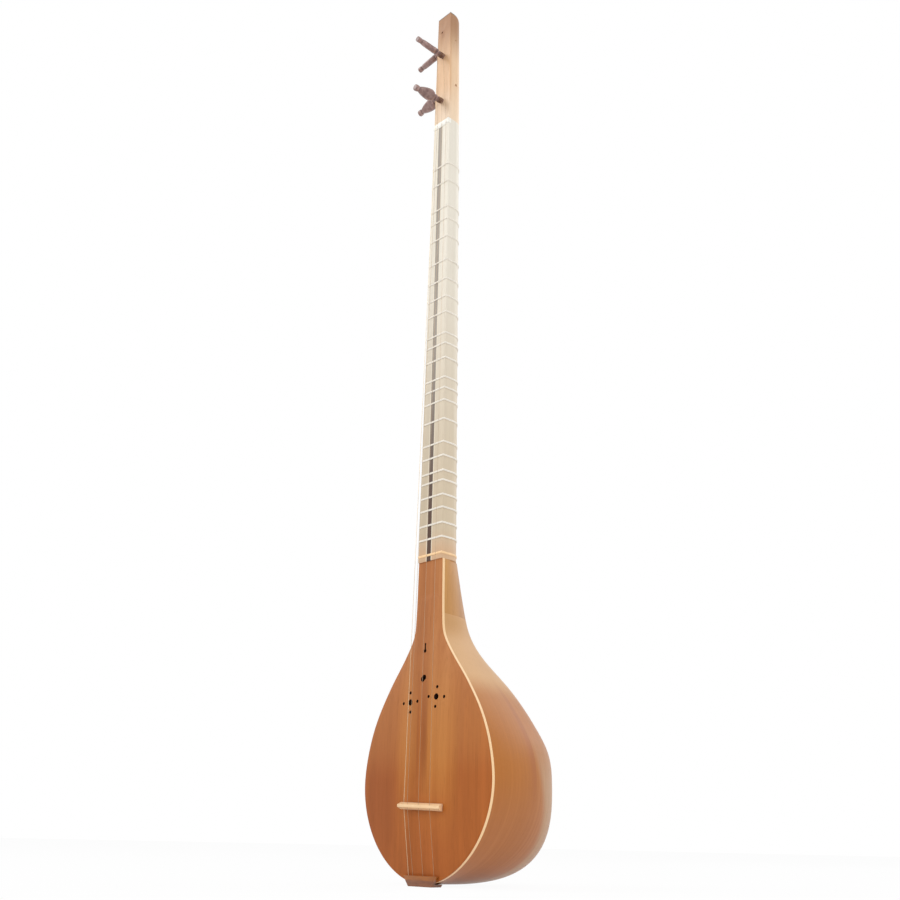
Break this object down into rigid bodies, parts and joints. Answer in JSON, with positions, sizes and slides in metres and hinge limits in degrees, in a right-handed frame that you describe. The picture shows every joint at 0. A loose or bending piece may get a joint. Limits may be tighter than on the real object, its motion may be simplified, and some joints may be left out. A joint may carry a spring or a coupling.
{
  "type": "long-necked lute",
  "caption": "Long-necked lute with a pear-shaped staved bowl, a thin drilled soundboard, tied gut frets, wire strings and friction tuning pegs in a solid head",
  "frame": {"origin": "the middle of the flat foot of the tailpiece, in the plane of the soundboard's edge", "axes": "+Z along the neck from the tailpiece to the head, +X to the right seen from the front, -Y out of the soundboard"},
  "size_m": [0.147, 0.161, 0.8455],
  "materials": {
    "bowl_wood": "varnished, satin sheen",
    "throat_wood": "varnished, satin sheen",
    "block_wood": "bare",
    "soundboard_wood": "varnished, satin sheen",
    "binding": "varnished, satin sheen",
    "neck_wood": "varnished, satin sheen",
    "fingerboard_wood": "satin",
    "strip_wood": "satin",
    "line_wood": "satin",
    "head_wood": "varnished, satin sheen",
    "cap": "satin",
    "nut_bone": "polished, like bone",
    "bridge_wood": "satin",
    "tailpiece": "varnished",
    "peg_wood": "polished",
    "string_wire": "plain drawn wire",
    "gut": "tied gut, slightly glossy"
  },
  "bodies": {
    "body": {"neck": "neck_wood", "neck_ring": "binding", "fingerboard_left": "fingerboard_wood", "fingerboard_right": "fingerboard_wood", "centre_strip": "strip_wood", "centre_lines": "line_wood", "nut": "nut_bone", "head_cap": "cap", "soundboard": "soundboard_wood", "binding_left": "binding", "binding_right": "binding", "throat_block": "throat_wood", "tail_block": "block_wood", "bridge": "bridge_wood", "tailpiece": "tailpiece", "stave_1": "bowl_wood", "stave_2": "bowl_wood", "stave_3": "bowl_wood", "stave_4": "bowl_wood", "stave_5": "bowl_wood", "stave_6": "bowl_wood", "stave_7": "bowl_wood", "string_1": "string_wire", "string_2": "string_wire", "string_3": "string_wire", "string_4": "string_wire", "peg_head": "head_wood"},
    "peg_front_high": {"peg_front_high": "peg_wood", "winding_1": "string_wire"},
    "peg_front_low": {"peg_front_low": "peg_wood", "winding_2": "string_wire"},
    "peg_side_high": {"peg_side_high": "peg_wood", "winding_3": "string_wire"},
    "peg_side_low": {"peg_side_low": "peg_wood", "winding_4": "string_wire"},
    "fret_01": {"fret_01": "gut"},
    "fret_02": {"fret_02": "gut"},
    "fret_03": {"fret_03": "gut"},
    "fret_04": {"fret_04": "gut"},
    "fret_05": {"fret_05": "gut"},
    "fret_06": {"fret_06": "gut"},
    "fret_07": {"fret_07": "gut"},
    "fret_08": {"fret_08": "gut"},
    "fret_09": {"fret_09": "gut"},
    "fret_10": {"fret_10": "gut"},
    "fret_11": {"fret_11": "gut"},
    "fret_12": {"fret_12": "gut"},
    "fret_13": {"fret_13": "gut"},
    "fret_14": {"fret_14": "gut"},
    "fret_15": {"fret_15": "gut"},
    "fret_16": {"fret_16": "gut"},
    "fret_17": {"fret_17": "gut"},
    "fret_18": {"fret_18": "gut"},
    "fret_19": {"fret_19": "gut"},
    "fret_20": {"fret_20": "gut"},
    "fret_21": {"fret_21": "gut"},
    "fret_22": {"fret_22": "gut"},
    "fret_23": {"fret_23": "gut"},
    "fret_24": {"fret_24": "gut"}
  },
  "joints": [
    {"name": "peg_front_high_turn", "type": "hinge", "parent": "body", "child": "peg_front_high", "pos_m": [-0.001, -0.0008, 0.793], "axis": [0, -1, 0], "continuous": true},
    {"name": "peg_front_low_turn", "type": "hinge", "parent": "body", "child": "peg_front_low", "pos_m": [-0.001, -0.0008, 0.736], "axis": [0, -0.9925, -0.1219], "continuous": true},
    {"name": "peg_side_high_turn", "type": "hinge", "parent": "body", "child": "peg_side_high", "pos_m": [-0.00945, 0.0072, 0.81076], "axis": [-0.9969, 0, -0.0785], "continuous": true},
    {"name": "peg_side_low_turn", "type": "hinge", "parent": "body", "child": "peg_side_low", "pos_m": [-0.01021, 0.0082, 0.753], "axis": [-0.9969, 0, -0.0785], "continuous": true},
    {"name": "fret_01_slide", "type": "slide", "parent": "body", "child": "fret_01", "axis": [0, 0, 1], "range_m": [-0.0025, 0.0025]},
    {"name": "fret_02_slide", "type": "slide", "parent": "body", "child": "fret_02", "axis": [0, 0, 1], "range_m": [-0.0025, 0.0025]},
    {"name": "fret_03_slide", "type": "slide", "parent": "body", "child": "fret_03", "axis": [0, 0, 1], "range_m": [-0.0025, 0.0025]},
    {"name": "fret_04_slide", "type": "slide", "parent": "body", "child": "fret_04", "axis": [0, 0, 1], "range_m": [-0.0025, 0.0025]},
    {"name": "fret_05_slide", "type": "slide", "parent": "body", "child": "fret_05", "axis": [0, 0, 1], "range_m": [-0.0025, 0.0025]},
    {"name": "fret_06_slide", "type": "slide", "parent": "body", "child": "fret_06", "axis": [0, 0, 1], "range_m": [-0.0025, 0.0025]},
    {"name": "fret_07_slide", "type": "slide", "parent": "body", "child": "fret_07", "axis": [0, 0, 1], "range_m": [-0.0025, 0.0025]},
    {"name": "fret_08_slide", "type": "slide", "parent": "body", "child": "fret_08", "axis": [0, 0, 1], "range_m": [-0.0025, 0.0025]},
    {"name": "fret_09_slide", "type": "slide", "parent": "body", "child": "fret_09", "axis": [0, 0, 1], "range_m": [-0.0025, 0.0025]},
    {"name": "fret_10_slide", "type": "slide", "parent": "body", "child": "fret_10", "axis": [0, 0, 1], "range_m": [-0.0025, 0.0025]},
    {"name": "fret_11_slide", "type": "slide", "parent": "body", "child": "fret_11", "axis": [0, 0, 1], "range_m": [-0.0025, 0.0025]},
    {"name": "fret_12_slide", "type": "slide", "parent": "body", "child": "fret_12", "axis": [0, 0, 1], "range_m": [-0.0025, 0.0025]},
    {"name": "fret_13_slide", "type": "slide", "parent": "body", "child": "fret_13", "axis": [0, 0, 1], "range_m": [-0.0025, 0.0025]},
    {"name": "fret_14_slide", "type": "slide", "parent": "body", "child": "fret_14", "axis": [0, 0, 1], "range_m": [-0.0025, 0.0025]},
    {"name": "fret_15_slide", "type": "slide", "parent": "body", "child": "fret_15", "axis": [0, 0, 1], "range_m": [-0.0025, 0.0025]},
    {"name": "fret_16_slide", "type": "slide", "parent": "body", "child": "fret_16", "axis": [0, 0, 1], "range_m": [-0.0025, 0.0025]},
    {"name": "fret_17_slide", "type": "slide", "parent": "body", "child": "fret_17", "axis": [0, 0, 1], "range_m": [-0.0025, 0.0025]},
    {"name": "fret_18_slide", "type": "slide", "parent": "body", "child": "fret_18", "axis": [0, 0, 1], "range_m": [-0.0025, 0.0025]},
    {"name": "fret_19_slide", "type": "slide", "parent": "body", "child": "fret_19", "axis": [0, 0, 1], "range_m": [-0.0025, 0.0025]},
    {"name": "fret_20_slide", "type": "slide", "parent": "body", "child": "fret_20", "axis": [0, 0, 1], "range_m": [-0.0025, 0.0025]},
    {"name": "fret_21_slide", "type": "slide", "parent": "body", "child": "fret_21", "axis": [0, 0, 1], "range_m": [-0.0025, 0.0025]},
    {"name": "fret_22_slide", "type": "slide", "parent": "body", "child": "fret_22", "axis": [0, 0, 1], "range_m": [-0.0025, 0.0025]},
    {"name": "fret_23_slide", "type": "slide", "parent": "body", "child": "fret_23", "axis": [0, 0, 1], "range_m": [-0.0025, 0.0025]},
    {"name": "fret_24_slide", "type": "slide", "parent": "body", "child": "fret_24", "axis": [0, 0, 1], "range_m": [-0.0025, 0.0025]}
  ]
}
